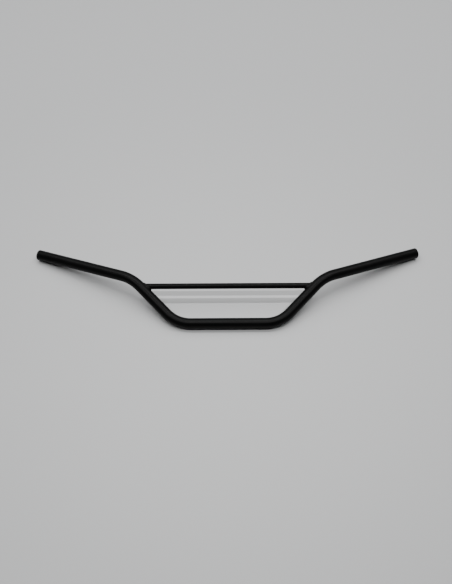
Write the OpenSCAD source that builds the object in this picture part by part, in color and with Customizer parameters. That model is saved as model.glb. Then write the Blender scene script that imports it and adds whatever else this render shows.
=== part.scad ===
// Off-road motorcycle handlebar: one bent main tube with a smaller crossbar
// welded between its uprights. Lengths are in millimetres.
//
// The bar is drawn flat first, in its own bending plane: +X to the rider's side,
// +Y up the uprights, and the grips pulled back towards -Z. It is then laid on a
// level surface, which it touches along its clamp section and at both grip ends.
// The origin is the middle of the clamp section, on the tube's axis.

/* [Main tube] */
// Outside diameter of the main tube, 7/8 inch
tube_od = 22.2; // [20:0.1:25.4]
// Wall thickness of the main tube
tube_wall = 2; // [1.5:0.1:3]
// Chamfer on the edges of the open grip ends
end_chamfer = 0.6; // [0.2:0.1:0.7]

/* [Straight lengths] */
// Clamp section, between the two lower bends
clamp_length = 152; // [130:1:190]
// Each upright, between its lower and its upper bend
upright_length = 78.5; // [60:0.5:95]
// Each grip end, from the upper bend to its open end
grip_length = 203; // [170:1:230]

/* [Bends] */
// Radius of the lower bends, at the tube's axis
lower_radius = 70; // [60:1:85]
// Radius of the upper bends, at the tube's axis
upper_radius = 88; // [75:1:100]
// Slope of the uprights above the clamp section, in degrees
upright_slope = 46; // [40:0.5:55]
// Slope of the grip ends in the bending plane, in degrees
grip_slope = 18.3; // [12:0.1:24]
// Angle by which the grip ends are pulled back out of the bending plane, in degrees
grip_pullback = 15.6; // [10:0.1:20]
// How much bending draws the tube in, on its radius and on its bore's radius
bend_draw = 0.05; // [0.03:0.01:0.1]

/* [Crossbar] */
// Outside diameter of the crossbar tube
crossbar_od = 12; // [10:0.5:14]
// Wall thickness of the crossbar tube
crossbar_wall = 1.5; // [1:0.1:2]
// Height of the crossbar's axis above the clamp section's axis, in the bending plane
crossbar_height = 78.5; // [68:0.5:84]
// How much the crossbar's ends are ground off all round, ready for the welds
ground_depth = 0.16; // [0.16:0.01:0.2]

/* [Welds] */
// Leg of the weld bead along each tube
weld_leg = 3.6; // [2.5:0.1:4.5]
// How far the bead's face bulges out between its two legs
weld_crown = 0.6; // [0.2:0.1:1]
// Steps of the bead around the crossbar
weld_steps = 48; // [36:4:60]

/* [Hidden] */
$fn = 96;

tube_r = tube_od / 2;
bore_r = tube_r - tube_wall;
crossbar_r = crossbar_od / 2;
past_end = 1; // how far a cutting shape runs past the face that it cuts

// The upper bend turns the tube out of the bending plane, so its own plane is
// rolled about the upright's axis.
grip_turn = upright_slope - grip_slope;
upper_turn = acos(cos(grip_pullback) * cos(grip_turn));
upper_roll = atan2(-sin(grip_pullback), -cos(grip_pullback) * sin(grip_turn));

// Where the tube's axis leaves each bend, in the bending plane
along_upright = [cos(upright_slope), sin(upright_slope), 0];
upright_start = [
    clamp_length / 2 + lower_radius * sin(upright_slope),
    lower_radius * (1 - cos(upright_slope)),
    0
];
upright_end = upright_start + upright_length * along_upright;
along_grip = [
    cos(grip_pullback) * cos(grip_slope),
    cos(grip_pullback) * sin(grip_slope),
    -sin(grip_pullback)
];
upper_corner = upright_end + upper_radius * tan(upper_turn / 2) * along_upright;
grip_end = upper_corner + (upper_radius * tan(upper_turn / 2) + grip_length) * along_grip;

// Tilt of the bending plane when the clamp section and both grip ends touch a
// level surface. The second step allows for the sloping rim of a grip end.
touch_point = grip_end - end_chamfer * along_grip;
rough_tilt = atan2(-touch_point.z, touch_point.y);
rim_slope = along_grip.y * sin(rough_tilt) + along_grip.z * cos(rough_tilt);
rim_rise = tube_r * (1 - sqrt(1 - rim_slope * rim_slope));
lay_tilt = rough_tilt - asin(rim_rise / norm([touch_point.y, touch_point.z]));

module lay() rotate([lay_tilt, 0, 0]) children();

// ---- Tube pieces, each starting at the origin and running along +X ----

module straight(r, length) rotate([0, 90, 0]) cylinder(r = r, h = length);

// A bend is drawn in by a hair and runs a little way into the straights on both
// sides, so every joint in the tube is a clean step and not two touching skins.
module bend(r, radius, turn) {
    lap = 0.4;
    translate([0, radius, 0])
        rotate([0, 0, -90 - lap])
            rotate_extrude(angle = turn + 2 * lap)
                translate([radius, 0])
                    circle(r = r - bend_draw);
}

// Moves its children on to the end of a bend
module after_bend(radius, turn)
    translate([radius * sin(turn), radius * (1 - cos(turn)), 0])
        rotate([0, 0, turn])
            children();

// ---- The main tube's path, for its outside and for its bore ----

module at_upright()
    translate([clamp_length / 2, 0, 0])
        after_bend(lower_radius, upright_slope)
            children();

module at_upper_bend()
    at_upright()
        translate([upright_length, 0, 0])
            rotate([upper_roll, 0, 0])
                children();

module at_grip()
    at_upper_bend()
        after_bend(upper_radius, upper_turn)
            children();

module upright_and_upper_bend(r) {
    at_upright() straight(r, upright_length);
    at_upper_bend() bend(r, upper_radius, upper_turn);
}

module both_sides() {
    children();
    mirror([1, 0, 0]) children();
}

module path(r, extra) {
    translate([-clamp_length / 2, 0, 0]) straight(r, clamp_length);
    both_sides() {
        translate([clamp_length / 2, 0, 0]) bend(r, lower_radius, upright_slope);
        upright_and_upper_bend(r);
        at_grip() straight(r, grip_length + extra);
    }
}

// Cuts the outer and inner edge of an open end that faces +X
module end_edges(r_out, r_in, size)
    rotate([0, 90, 0]) {
        difference() {
            translate([0, 0, -size]) cylinder(r = r_out + past_end, h = size + past_end);
            translate([0, 0, -size]) cylinder(r1 = r_out, r2 = r_out - 2 * size, h = 2 * size);
        }
        translate([0, 0, -1.5 * size]) cylinder(r1 = r_in - size / 2, r2 = r_in + 1.5 * size, h = 2 * size);
    }

module main_tube()
    color("#1b1b1d")
        lay()
            difference() {
                path(tube_r, 0);
                path(bore_r, past_end);
                both_sides()
                    at_grip()
                        translate([grip_length, 0, 0])
                            end_edges(tube_r, bore_r, end_chamfer);
            }

// ---- The crossbar, with both ends cut to the curve of the uprights ----

// Where the crossbar's axis meets the axis of the upright
crossing_x = upright_start.x + (crossbar_height - upright_start.y) / tan(upright_slope);

module crossbar_rod(r, half_length)
    translate([-half_length, crossbar_height, 0])
        straight(r, 2 * half_length);

// The cut end reaches furthest in at the bottom of the bar. The ground part
// starts a little way before the weld's toe there, and runs to the end.
full_size_x = crossing_x - tube_r / sin(upright_slope) - crossbar_r / tan(upright_slope)
    - weld_leg - 4;

module crossbar()
    color("#232325")
        lay()
            difference() {
                union() {
                    crossbar_rod(crossbar_r, full_size_x);
                    crossbar_rod(crossbar_r - ground_depth, crossing_x);
                }
                crossbar_rod(crossbar_r - crossbar_wall, crossing_x + past_end);
                both_sides() upright_and_upper_bend(tube_r);
            }

// ---- The weld beads, which follow the curve where the two tubes meet ----

function unit(v) = v / norm(v);

// A point of the bending plane's space, as seen from the upper end of the upright:
// x along the upright and y towards the centre of the upper bend
function from_upright_end(p) =
    let (
        q = p - upright_end,
        ahead = q.x * cos(upright_slope) + q.y * sin(upright_slope),
        aside = q.y * cos(upright_slope) - q.x * sin(upright_slope)
    )
    [
        ahead,
        aside * cos(upper_roll) + q.z * sin(upper_roll),
        q.z * cos(upper_roll) - aside * sin(upper_roll)
    ];

// Distance from the main tube's axis, along the upright and round the upper bend
function axis_distance(p) =
    let (q = from_upright_end(p))
    q.x <= 0
        ? norm([q.y, q.z])
        : norm([norm([q.x, upper_radius - q.y]) - upper_radius, q.z]);

function slope_along(p, step) = axis_distance(p + step) - axis_distance(p - step);

// Which way is straight out of the main tube at a point
function out_of_tube(p) =
    let (e = 0.01)
    unit([slope_along(p, [e, 0, 0]), slope_along(p, [0, e, 0]), slope_along(p, [0, 0, e])]);

function out_of_crossbar(t) = [0, cos(t), sin(t)];

function on_crossbar(x, t) = [x, crossbar_height, 0] + crossbar_r * out_of_crossbar(t);

// Where the crossbar's surface line at angle t enters the main tube, by halving
function meeting_x(t, near, far, halvings) =
    let (middle = (near + far) / 2)
    halvings == 0
        ? middle
        : axis_distance(on_crossbar(middle, t)) > tube_r
            ? meeting_x(t, middle, far, halvings - 1)
            : meeting_x(t, near, middle, halvings - 1);

function meeting_point(t) =
    on_crossbar(meeting_x(t, crossing_x - 4 * tube_r, crossing_x + crossbar_r * cos(t), 20), t);

weld_sink = 0.3;      // how far the toes of the bead start under the tubes' surfaces
weld_root = 1.6;      // depth of the bead's hidden corner under the joint
weld_face_steps = 6;  // steps across the bead's visible face

// One cross-section of the bead: its two toes, the bulging face between, and its root
function weld_section(t) =
    let (
        joint = meeting_point(t),
        run = unit(meeting_point(t + 1) - meeting_point(t - 1)),
        from_bar = out_of_crossbar(t),
        from_tube = out_of_tube(joint),
        back_along_bar = cross(run, from_bar),
        away_along_tube = cross(from_tube, run),
        off_bar = joint + weld_leg * back_along_bar,
        off_tube = joint + weld_leg * away_along_tube,
        bar_axis = [off_bar.x, crossbar_height, 0],
        bar_toe = bar_axis + (crossbar_r - weld_sink) * unit(off_bar - bar_axis),
        tube_toe = off_tube
            - (axis_distance(off_tube) - tube_r + weld_sink) * out_of_tube(off_tube),
        outward = unit(from_bar + from_tube)
    )
    [
        for (i = [0:weld_face_steps])
            let (k = i / weld_face_steps)
            (1 - k) * bar_toe + k * tube_toe + 4 * k * (1 - k) * weld_crown * outward,
        joint - weld_root * outward
    ];

module weld_ring() {
    sections = [for (i = [0:weld_steps - 1]) weld_section(i * 360 / weld_steps)];
    n = len(sections[0]);
    points = [for (s = sections) each s];
    faces = [
        for (i = [0:weld_steps - 1], j = [0:n - 1])
            let (
                i2 = (i + 1) % weld_steps,
                j2 = (j + 1) % n
            )
            each [
                [i * n + j, i * n + j2, i2 * n + j2],
                [i * n + j, i2 * n + j2, i2 * n + j]
            ]
    ];
    polyhedron(points, faces);
}

module weld()
    difference() {
        weld_ring();
        upright_and_upper_bend(tube_r);
        crossbar_rod(crossbar_r - ground_depth, crossing_x);
    }

module weld_right() color("#2a2a2c") lay() weld();

module weld_left() color("#2a2a2c") lay() mirror([1, 0, 0]) weld();

main_tube();
crossbar();
weld_right();
weld_left();
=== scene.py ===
import bpy
import numpy as np
from math import radians, cos, sin, tan, acos, atan2
from mathutils import Matrix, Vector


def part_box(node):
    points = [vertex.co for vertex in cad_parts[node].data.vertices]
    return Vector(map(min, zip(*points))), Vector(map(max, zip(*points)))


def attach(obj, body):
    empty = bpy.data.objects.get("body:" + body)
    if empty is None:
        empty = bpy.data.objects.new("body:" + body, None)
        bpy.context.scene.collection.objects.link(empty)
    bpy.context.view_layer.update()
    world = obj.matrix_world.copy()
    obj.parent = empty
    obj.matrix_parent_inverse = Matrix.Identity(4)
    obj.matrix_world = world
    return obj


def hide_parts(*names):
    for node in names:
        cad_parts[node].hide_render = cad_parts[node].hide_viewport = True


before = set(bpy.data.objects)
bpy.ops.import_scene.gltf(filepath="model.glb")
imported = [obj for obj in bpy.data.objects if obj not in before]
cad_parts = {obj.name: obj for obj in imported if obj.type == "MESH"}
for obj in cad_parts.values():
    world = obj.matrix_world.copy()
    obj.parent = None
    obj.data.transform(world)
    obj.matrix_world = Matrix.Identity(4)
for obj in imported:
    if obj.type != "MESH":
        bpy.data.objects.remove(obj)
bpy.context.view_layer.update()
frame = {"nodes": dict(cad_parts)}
print("frame loaded:", ", ".join(frame["nodes"]))

mm = 0.001
middleNoise = 0.5  # the value about which a noise pattern varies


class Socket:  # one output of a node, which can be added, taken away and multiplied
    def __init__(self, board, out):
        self.board = board
        self.out = out

    def __add__(self, other):
        return self.board.maths("ADD", self, other)

    def __radd__(self, other):
        return self.board.maths("ADD", other, self)

    def __sub__(self, other):
        return self.board.maths("SUBTRACT", self, other)

    def __rsub__(self, other):
        return self.board.maths("SUBTRACT", other, self)

    def __mul__(self, other):
        return self.board.maths("MULTIPLY", self, other)

    def __rmul__(self, other):
        return self.board.maths("MULTIPLY", other, self)

    def ramp(self, low, high):  # 0 below low, 1 above high, eased between
        return self.board.node("ShaderNodeMapRange", {"interpolation_type": "SMOOTHSTEP"},
                               {"Value": self, "From Min": low, "From Max": high}).output("Result")


class Made:  # a node that has been made, asked for its outputs by name or number
    def __init__(self, board, made):
        self.board = board
        self.made = made

    def output(self, name):
        return Socket(self.board, self.made.outputs[name])


class Board:  # the nodes of one material
    def __init__(self, name):
        self.material = bpy.data.materials.new(name)
        self.material.use_nodes = True
        self.tree = self.material.node_tree
        self.tree.nodes.clear()

    def node(self, kind, settings=None, values=None):  # its settings are set before its sockets are fed
        made = self.tree.nodes.new(kind)
        for key, value in (settings or {}).items():
            setattr(made, key, value)
        for key, value in (values or {}).items():
            self.feed(made.inputs[key], value)
        return Made(self, made)

    def feed(self, entry, value):
        if isinstance(value, Socket):
            self.tree.links.new(value.out, entry)
        else:
            entry.default_value = value

    def maths(self, operation, *values):
        return self.node("ShaderNodeMath", {"operation": operation}, dict(enumerate(values))).output("Value")

    def blend(self, factor, first, second):  # a mix of two colours, whose sockets go by number
        return self.node("ShaderNodeMix", {"data_type": "RGBA"},
                         {0: factor, 6: first, 7: second}).output(2)

    def place(self):  # the piece's own coordinates, in millimetres
        spot = self.node("ShaderNodeTexCoord").output("Object")
        return self.node("ShaderNodeVectorMath", {"operation": "SCALE"},
                         {0: spot, "Scale": 1 / mm}).output("Vector")

    def noise(self, where, width, detail):  # width is one lump's, in millimetres
        return self.node("ShaderNodeTexNoise", None,
                         {"Vector": where, "Scale": 1 / width, "Detail": detail}).output("Fac")

    def painted(self, name):  # a value stored on the piece's own points
        return self.node("ShaderNodeAttribute", {"attribute_name": name}).output("Fac")

    def bumped(self, height):
        return self.node("ShaderNodeBump", None,
                         {"Height": height, "Distance": 1.0, "Strength": 1.0}).output("Normal")

    def finish(self, values):
        shader = self.node("ShaderNodeBsdfPrincipled", None, values)
        self.node("ShaderNodeOutputMaterial", None, {"Surface": shader.output("BSDF")})
        return self.material


def surface(name, grid, marks=None):
    # grid is rows x columns x 3 and closes on itself both ways, so the piece has no rim;
    # each face joins a point to the next in its row and the next in its column
    rows, columns = grid.shape[:2]
    index = np.arange(rows * columns).reshape(rows, columns)
    nextRow = np.roll(index, -1, 0)
    nextColumn = np.roll(index, -1, 1)
    both = np.roll(nextRow, -1, 1)
    faces = np.stack([nextColumn, both, nextRow, index], -1).reshape(-1, 4)
    mesh = bpy.data.meshes.new(name)
    mesh.from_pydata(grid.reshape(-1, 3) * mm, [], faces.tolist())
    mesh.polygons.foreach_set("use_smooth", np.ones(len(faces), bool))
    for key, values in (marks or {}).items():
        layer = mesh.attributes.new(key, "FLOAT", "POINT")
        layer.data.foreach_set("value", np.ascontiguousarray(values, np.float32).ravel())
    mesh.update()
    piece = bpy.data.objects.new(name, mesh)
    bpy.context.collection.objects.link(piece)
    return piece


mainTube = {  # millimetres and degrees
    "diameter": 22.2, "wall": 2.0,  # 7/8 inch tube
    "clampLength": 152, "uprightLength": 78.5, "gripLength": 203,
    "lowerRadius": 70, "upperRadius": 88,
    "uprightSlope": 46, "gripSlope": 18.3, "gripPullback": 15.6,
    "lip": 0.6, "lipSteps": 6,  # how much of the end's edges is broken, and how finely
    "flattening": 0.16,  # how much a bend squeezes the tube in its own plane
    "around": 96, "straightStep": 6.0, "bendStep": 2.2,  # points in a ring, and the rings' spacing
}

tubeR = mainTube["diameter"] / 2
boreR = tubeR - mainTube["wall"]
middleR = (tubeR + boreR) / 2
slope = radians(mainTube["uprightSlope"])
climb = radians(mainTube["gripSlope"])
pullback = radians(mainTube["gripPullback"])
alongClamp = np.array([1, 0, 0])
alongUpright = np.array([cos(slope), sin(slope), 0])
alongGrip = np.array([cos(pullback) * cos(climb), cos(pullback) * sin(climb), -sin(pullback)])
upperTurn = acos(alongUpright @ alongGrip)
towardsGrip = alongGrip - (alongGrip @ alongUpright) * alongUpright  # square to the upright
towardsGrip /= np.linalg.norm(towardsGrip)
bendSide = np.cross(alongUpright, towardsGrip)
inPlane = np.array([-sin(slope), cos(slope), 0])  # square to the upright, in the bar's own plane
bendRoll = atan2(towardsGrip[2], towardsGrip @ inPlane)  # how far the upper bend turns out of it
stretches = np.array([mainTube["clampLength"] / 2, mainTube["lowerRadius"] * slope,
                      mainTube["uprightLength"], mainTube["upperRadius"] * upperTurn,
                      mainTube["gripLength"]])
starts = np.concatenate([[0], np.cumsum(stretches)])
halfLength = starts[-1]


def barPath(length):
    # length is counted from the bar's middle. The path is the sum of five stretches, each run as far as
    # the length has reached: along the clamp section, round the lower bend, up the upright, round the
    # upper bend and along the grip. Gives the point and two directions across the tube, which never
    # twist about it
    far = np.abs(length)[..., None]
    run = [np.clip(far - start, 0, stretch) for start, stretch in zip(starts, stretches)]
    low = run[1] / mainTube["lowerRadius"]
    high = run[3] / mainTube["upperRadius"]
    zero = np.zeros_like(low)
    lowerBend = np.concatenate([np.sin(low), 1 - np.cos(low), zero], -1)
    upperBend = np.sin(high) * alongUpright + (1 - np.cos(high)) * towardsGrip
    point = (alongClamp * run[0] + lowerBend * mainTube["lowerRadius"] + alongUpright * run[2]
             + upperBend * mainTube["upperRadius"] + alongGrip * run[4])
    inward = np.concatenate([-np.sin(low), np.cos(low), zero], -1)
    level = np.concatenate([zero, zero, zero + 1], -1)
    turned = np.cos(high) * towardsGrip - np.sin(high) * alongUpright

    def swing(across):  # carries a direction across the tube round the upper bend
        return across + (across @ towardsGrip)[..., None] * (turned - towardsGrip)

    mirror = np.where((length < 0)[..., None], [-1, 1, 1], [1, 1, 1])  # the left half mirrors the right
    return point * mirror, swing(inward) * mirror, swing(level) * mirror


def layTilt():
    # the angle at which the clamp section and the lower edge of both grip ends touch a level floor:
    # first the one that brings the tip's axis level with the clamp section's, then less by what a
    # sloping rim lacks below its axis
    tip = barPath(np.array([halfLength - mainTube["lip"]]))[0][0]
    axisTilt = atan2(-tip[2], tip[1])
    rimSlope = alongGrip[1] * sin(axisTilt) + alongGrip[2] * cos(axisTilt)
    rimRise = tubeR * (1 - (1 - rimSlope ** 2) ** 0.5)
    return axisTilt - np.arcsin(rimRise / np.hypot(tip[1], tip[2]))


tilt = layTilt()
laid = np.array([[1, 0, 0], [0, cos(tilt), -sin(tilt)], [0, sin(tilt), cos(tilt)]])


def lay(points):  # turns the bar's own bending plane into the way it lies
    return points @ laid.T


def stations():
    # lengths along one half of the tube, close together in the bends and wide apart in the straights
    steps = [mainTube["straightStep"], mainTube["bendStep"]] * 2 + [mainTube["straightStep"]]
    return np.concatenate([np.linspace(start, start + stretch, int(np.ceil(stretch / step)), endpoint=False)
                           for start, stretch, step in zip(starts, stretches, steps)])


def squeeze(length, angle):
    # how far a bend draws the skin in: most in the middle of the bend and in the bend's own plane
    far = np.abs(length)
    lower = np.clip((far - starts[1]) / stretches[1], 0, 1)
    upper = np.clip((far - starts[3]) / stretches[3], 0, 1)
    return mainTube["flattening"] * (np.sin(np.pi * lower) ** 2 * np.cos(angle) ** 2
                                     + np.sin(np.pi * upper) ** 2 * np.cos(angle - bendRoll) ** 2)


def lipProfile():
    # lengths and radii round one end: a quarter circle off the skin, the flat of the cut and a
    # quarter circle into the bore
    lip = mainTube["lip"]
    bend = np.linspace(0, np.pi / 2, mainTube["lipSteps"] + 1)[1:]
    length = np.concatenate([[0], np.sin(bend), [1, 1], np.cos(bend)])
    outer = tubeR - lip + lip * np.cos(bend)
    inner = boreR + lip - lip * np.sin(bend)
    return halfLength - lip + lip * length, np.concatenate([[tubeR], outer, [middleR, boreR + lip], inner])


def tubeWall():
    # a loop of lengths and radii runs out along the skin, round one lip, back down the bore and
    # round the other lip; every point of it is swung round the path
    half = stations()
    half = half[half < halfLength - 2 * mainTube["lip"]]
    out = np.concatenate([-half[:0:-1], half])
    back = out[::2][::-1]
    lipLength, lipRadius = lipProfile()
    length = np.concatenate([out, lipLength, back, -lipLength[::-1]])
    radius = np.concatenate([out * 0 + tubeR, lipRadius, back * 0 + boreR, lipRadius[::-1]])
    angle = np.linspace(0, 2 * np.pi, mainTube["around"], endpoint=False)
    length, angle = np.meshgrid(length, angle, indexing="ij")
    reach = (radius[:, None] - squeeze(length, angle))[..., None]
    point, inward, level = barPath(length)
    grid = point + reach * (np.cos(angle)[..., None] * inward + np.sin(angle)[..., None] * level)
    inside = (radius < middleR)[:, None] * np.ones_like(angle)
    return lay(grid), {"inside": inside, "depth": halfLength - np.abs(length)}


mainPiece = surface("mainTubeWall", *tubeWall())
print("main tube:", len(mainPiece.data.polygons), "faces, tilt", round(float(np.degrees(tilt)), 3))


crossbar = {  # millimetres
    "diameter": 12, "wall": 1.5, "height": 78.5,  # height of its axis above the clamp section's axis
    "around": 64, "along": 60,
    "sink": 0.15,  # how far its cut ends reach into the upright's skin
    "search": 5, "halvings": 40,  # its joint is looked for this many tube radii back, halved this often
}

barR = crossbar["diameter"] / 2
uprightStart = barPath(starts[2:3])[0][0]
uprightEnd = barPath(starts[3:4])[0][0]
crossingX = uprightStart[0] + (crossbar["height"] - uprightStart[1]) / tan(slope)


def unitRows(vectors):
    return vectors / np.linalg.norm(vectors, axis=-1, keepdims=True)


def axisDistance(points):
    # distance from the main tube's axis: to the upright's line below the upper bend, and to the
    # circle of the upper bend beyond it
    offset = points - uprightEnd
    ahead, aside, across = offset @ alongUpright, offset @ towardsGrip, offset @ bendSide
    onLine = np.hypot(aside, across)
    onArc = np.hypot(np.hypot(ahead, mainTube["upperRadius"] - aside) - mainTube["upperRadius"], across)
    return np.where(ahead <= 0, onLine, onArc)


def outOfTube(points):
    # the slope of axisDistance, which points straight out of the main tube's skin
    nudges = 0.01 * np.eye(3)  # a hundredth of a millimetre along each axis
    return unitRows(np.stack([axisDistance(points + nudge) - axisDistance(points - nudge)
                              for nudge in nudges], -1))


def onBar(x, angle, radius):
    return np.stack([x, crossbar["height"] + radius * np.cos(angle), radius * np.sin(angle)], -1)


def meetingX(angle, radius, depth):
    # where a line along the crossbar gets depth deep into the main tube, found by halving
    near = crossingX - crossbar["search"] * tubeR + 0 * angle
    far = crossingX + radius * np.cos(angle)
    for halving in range(crossbar["halvings"]):
        middle = (near + far) / 2
        outside = axisDistance(onBar(middle, angle, radius)) > tubeR - depth
        near, far = np.where(outside, middle, near), np.where(outside, far, middle)
    return (near + far) / 2


def crossbarWall():
    # the skin's lines run from one cut end to the other; the bore's lines run back inside them
    angle = np.linspace(0, 2 * np.pi, crossbar["around"], endpoint=False)
    share = np.sin(np.linspace(-np.pi / 2, np.pi / 2, crossbar["along"]))
    everyLine = np.tile(angle, (len(share), 1))
    insideR = barR - crossbar["wall"]
    skin = share[:, None] * meetingX(angle, barR, crossbar["sink"])
    bore = share[::-1, None] * meetingX(angle, insideR, crossbar["sink"])
    return lay(np.concatenate([onBar(skin, everyLine, barR), onBar(bore, everyLine, insideR)]))


crossPiece = surface("crossbarWall", crossbarWall())
print("crossbar:", len(crossPiece.data.polygons), "faces")


weldBead = {  # millimetres
    "leg": 3.6, "crown": 0.55, "root": 1.2,  # its reach along each skin, its bulge and its depth
    "pull": 1.1,  # how strongly its face follows each skin where it lands
    "ripples": 25, "rippleHeight": 0.13,
    "rippleMiddle": 0.6,  # close to a ripple's mean, so that the ripples add no bulk
    "rippleLag": 1.5,  # bends each ripple into a crescent
    "unevenness": 0.25,  # how much the bead's width wanders
    "haste": 1.6,  # how much the ripples bunch and spread on the way round
    "waves": (1.0, 0.8, 0.6, 0.4),  # most strength of two, three, four and five waves round the bead
    "faintest": 0.5,  # the least share of that strength that a wave gets
    "toeSink": 0.06,  # how far its edges sink into both skins
    "around": 540, "across": 22, "seedRight": 3, "seedLeft": 8,
}


def wander(angle, seed):
    # a slow, closed wobble of about 1 either way: waves with seeded strengths and phases
    pick = np.random.default_rng(seed)
    total = 0 * angle
    for wave, strength in enumerate(weldBead["waves"], 2):
        height = strength * pick.uniform(weldBead["faintest"], 1)
        total = total + height * np.sin(wave * angle + pick.uniform(0, 2 * np.pi))
    return total / 2


def beadSurface(seed):
    # round the joint: the curve where the two skins meet. Across it: a cubic curve that leaves the
    # crossbar along its skin and lands on the main tube along its skin, raised by a crown and by ripples
    angle = np.linspace(0, 2 * np.pi, weldBead["around"], endpoint=False)
    joint = onBar(meetingX(angle, barR, 0), angle, barR)
    run = unitRows(np.roll(joint, -1, 0) - np.roll(joint, 1, 0))
    fromBar = np.stack([0 * angle, np.cos(angle), np.sin(angle)], -1)
    fromTube = outOfTube(joint)
    backAlongBar = np.cross(run, fromBar)
    awayAlongTube = np.cross(fromTube, run)
    outward = unitRows(fromBar + fromTube)
    leg = weldBead["leg"] + weldBead["unevenness"] * wander(angle, seed)[:, None]
    offBar = joint + leg * backAlongBar
    offTube = joint + leg * awayAlongTube
    barAxis = offBar * np.array([1, 0, 0]) + np.array([0, crossbar["height"], 0])
    barToe = barAxis + (barR - weldBead["toeSink"]) * unitRows(offBar - barAxis)
    tubeSink = axisDistance(offTube) - tubeR + weldBead["toeSink"]
    tubeToe = offTube - tubeSink[:, None] * outOfTube(offTube)
    share = np.linspace(0, 1, weldBead["across"])[None, :, None]
    pull = weldBead["pull"] * leg[:, None]
    landed = 3 * share ** 2 - 2 * share ** 3
    leaving = share * (1 - share) ** 2
    landing = share ** 2 * (share - 1)
    face = ((1 - landed) * barToe[:, None] - leaving * pull * backAlongBar[:, None]
            + landed * tubeToe[:, None] + landing * pull * awayAlongTube[:, None])
    bulge = np.sin(np.pi * share) ** 2
    travel = weldBead["ripples"] * angle + weldBead["haste"] * wander(angle, seed + 1)
    phase = travel[:, None, None] + weldBead["rippleLag"] * (2 * share - 1) ** 2 * np.pi
    ripple = weldBead["rippleHeight"] * bulge * (np.abs(np.sin(phase / 2)) - weldBead["rippleMiddle"])
    face = face + (bulge * weldBead["crown"] + ripple) * outward[:, None]
    root = joint - weldBead["root"] * outward
    hidden = np.stack([(root + tubeToe) / 2, root, (root + barToe) / 2], 1)
    return np.concatenate([face, hidden], 1)[:, ::-1]


beadRight = surface("weldBeadRight", lay(beadSurface(weldBead["seedRight"])))
mirrored = beadSurface(weldBead["seedLeft"]) * np.array([-1, 1, 1])
beadLeft = surface("weldBeadLeft", lay(mirrored)[:, ::-1])  # a mirrored grid runs the other way
print("weld beads:", len(beadRight.data.polygons) + len(beadLeft.data.polygons), "faces")


# a pattern is the width of its lumps in millimetres and how much finer detail they hold;
# an edge is the pair of pattern values between which it goes from none to full
coating = {
    "colour": (0.0012, 0.0012, 0.0012, 1), "dusty": (0.003, 0.003, 0.003, 1),
    "roughness": 0.34, "gloss": 0.08,
    "peel": (1.6, 1.0), "grain": (0.35, 2.0), "cloud": (38.0, 3.0), "speck": (0.9, 0.0),
    "peelHeight": 0.036, "grainHeight": 0.012,  # millimetres
    "cloudEdge": (0.35, 0.75), "cloudDust": 0.35,
    "speckEdge": (0.74, 0.80), "speckDust": 0.25,
    "cloudRough": 0.12, "grainRough": 0.10,  # how much each varies the roughness
}

bore = {
    "steel": (0.30, 0.28, 0.26, 1), "rust": (0.075, 0.045, 0.03, 1),
    "dusted": (6.0, 26.0), "ragged": 12.0,  # millimetres in: where the coat thins out, and how unevenly
    "stain": (7.0, 4.0), "stainEdge": (0.42, 0.66),
    "extraRough": 0.05, "stainRough": 0.2, "stainDull": 0.8,
}


def powderCoat(name, withBore):
    board = Board(name)
    where = board.place()
    peel = board.noise(where, *coating["peel"])
    grain = board.noise(where, *coating["grain"])
    cloud = board.noise(where, *coating["cloud"])
    speck = board.noise(where, *coating["speck"]).ramp(*coating["speckEdge"])
    dust = cloud.ramp(*coating["cloudEdge"]) * coating["cloudDust"] + speck * coating["speckDust"]
    colour = board.blend(dust, coating["colour"], coating["dusty"])
    cloudiness = cloud - middleNoise
    graininess = grain - middleNoise
    rough = coating["roughness"] + cloudiness * coating["cloudRough"] + graininess * coating["grainRough"]
    metal = 0.0
    height = peel * (coating["peelHeight"] * mm) + grain * (coating["grainHeight"] * mm)
    if withBore:  # the coat dusts the first centimetres of the bore, then bare drawn steel begins
        depth = board.painted("depth") + cloudiness * bore["ragged"]
        bare = board.painted("inside") * depth.ramp(*bore["dusted"])
        stain = board.noise(where, *bore["stain"]).ramp(*bore["stainEdge"])
        colour = board.blend(bare, colour, board.blend(stain, bore["steel"], bore["rust"]))
        rough = rough + bare * (stain * bore["stainRough"] + bore["extraRough"])
        metal = bare * (1 - stain * bore["stainDull"])
    return board.finish({"Base Color": colour, "Roughness": rough, "Metallic": metal,
                         "Normal": board.bumped(height), "Specular IOR Level": coating["gloss"]})


tubeFinish = powderCoat("blackPowderCoat", True)
barFinish = powderCoat("blackPowderCoatPlain", False)
mainPiece.data.materials.append(tubeFinish)
for piece in (crossPiece, beadRight, beadLeft):
    piece.data.materials.append(barFinish)
standsFor = (
    (mainPiece, "main_tube", "tube_coating"),
    (crossPiece, "crossbar", "crossbar_coating"),
    (beadRight, "weld_right", "weld_coating"),
    (beadLeft, "weld_left", "weld_coating"),
)
for piece, node, slotName in standsFor:
    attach(piece, "root")
    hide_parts(node)
print("finishes done")


studio = {  # metres, except where it says millimetres
    # the second floor colour is painted shade, used far from the painted pool of light
    "floor": (0.62, 0.625, 0.628, 1), "floorPaintedShade": (0.50, 0.505, 0.51, 1),
    "paintedLightPool": (0, -200, 0), "paintedLightPoolReach": 1000,  # millimetres: a painted pool of light, the floor's colour palest here and darkening as painted shade over this far
    "paperGrain": (2.5, 3.0), "paperHeight": 0.02,  # millimetres
    "paperRoughness": 0.9, "paperGloss": 0.2,
    "floorRadius": 2.45, "floorCorners": 180,
    "air": (0.80, 0.805, 0.81, 1), "airStrength": 0.40,  # close to the floor's rim, which shows faintly
    "distance": 2.8, "length": 4.0,  # every light is this far from the bar and this long, along the bar
    "lights": {  # degrees from overhead towards the back, width, watts
        "backStrip": (17, 0.14, 55),
        "frontStrip": (-10, 0.14, 49),
        "backPanel": (38, 1.6, 49.5),
    },
}


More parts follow.
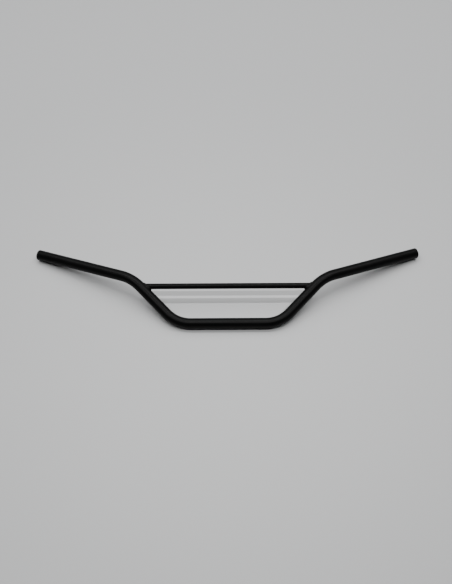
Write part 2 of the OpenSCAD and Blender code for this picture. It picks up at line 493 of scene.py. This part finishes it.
def palePaper():
    board = Board("palePaper")
    where = board.place()
    away = board.node("ShaderNodeVectorMath", {"operation": "DISTANCE"},
                      {0: where, 1: studio["paintedLightPool"]}).output("Value")
    # the floor's colour darkens with distance from the pool point: a painted pool of light and painted
    # shade, not the paper's own tone
    shade = board.blend(away.ramp(0, studio["paintedLightPoolReach"]), studio["floor"], studio["floorPaintedShade"])
    height = board.noise(where, *studio["paperGrain"]) * (studio["paperHeight"] * mm)
    return board.finish({"Base Color": shade, "Roughness": studio["paperRoughness"],
                         "Normal": board.bumped(height), "Specular IOR Level": studio["paperGloss"]})


def studioFloor():
    # a disc as low as the main tube's underside
    height = float(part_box("main_tube")[0][2])
    turn = np.linspace(0, 2 * np.pi, studio["floorCorners"], endpoint=False)
    rim = np.stack([np.cos(turn), np.sin(turn), 0 * turn], -1) * studio["floorRadius"]
    mesh = bpy.data.meshes.new("floor")
    mesh.from_pydata(rim + np.array([0, 0, height]), [], [list(range(len(rim)))])
    mesh.materials.append(palePaper())
    disc = bpy.data.objects.new("floor", mesh)
    bpy.context.collection.objects.link(disc)
    return disc


def studioLight(name, angle, width, power):
    # a long light along X, leaning from straight overhead about the bar and facing it
    lamp = bpy.data.lights.new(name, "AREA")
    lamp.shape = "RECTANGLE"
    lamp.size = studio["length"]
    lamp.size_y = width
    lamp.energy = power
    holder = bpy.data.objects.new(name, lamp)
    bpy.context.collection.objects.link(holder)
    lean = radians(angle)
    holder.location = (0, studio["distance"] * sin(lean), studio["distance"] * cos(lean))
    holder.rotation_euler = (-lean, 0, 0)


def studioAir():
    air = bpy.data.worlds.new("studioAir")
    bpy.context.scene.world = air
    air.use_nodes = True
    background = air.node_tree.nodes["Background"]
    background.inputs["Color"].default_value = studio["air"]
    background.inputs["Strength"].default_value = studio["airStrength"]
    air.cycles_visibility.diffuse = False  # it is seen and mirrored, and leaves the shadows deep


floor = studioFloor()
for name, setting in studio["lights"].items():
    studioLight(name, *setting)
studioAir()

view = {
    "focal": 50.55, "sensor": 36.0,
    "pitch": 56.2, "yaw": 0.30, "roll": -0.05,  # degrees: down from level, about up, about the line of sight
    "reach": 1.673, "right": 0.0044, "down": 0.0639,  # where the clamp section's middle lies from the lens
}


def aboutZ(angle):
    return np.array([[cos(angle), -sin(angle), 0], [sin(angle), cos(angle), 0], [0, 0, 1]])


def cameraPlace():
    # the rows of axes are the camera's right, down and ahead: those of a level camera pitched down,
    # after the bar is yawed and the view rolled; its place puts the bar's origin at the stated offsets
    pitch = radians(view["pitch"])
    level = np.array([[1, 0, 0], [0, -sin(pitch), -cos(pitch)], [0, cos(pitch), -sin(pitch)]])
    axes = aboutZ(radians(view["roll"])) @ level @ aboutZ(radians(view["yaw"]))
    matrix = np.eye(4)
    matrix[:3, :3] = (axes * np.array([[1], [-1], [-1]])).T
    matrix[:3, 3] = -axes.T @ np.array([view["right"], view["down"], view["reach"]])
    return Matrix(matrix.tolist())


def studioCamera():
    lens = bpy.data.cameras.new("camera")
    lens.lens = view["focal"]
    lens.sensor_width = view["sensor"]
    camera = bpy.data.objects.new("camera", lens)
    bpy.context.collection.objects.link(camera)
    camera.matrix_world = cameraPlace()
    return camera


bpy.context.scene.camera = studioCamera()
print("studio done")
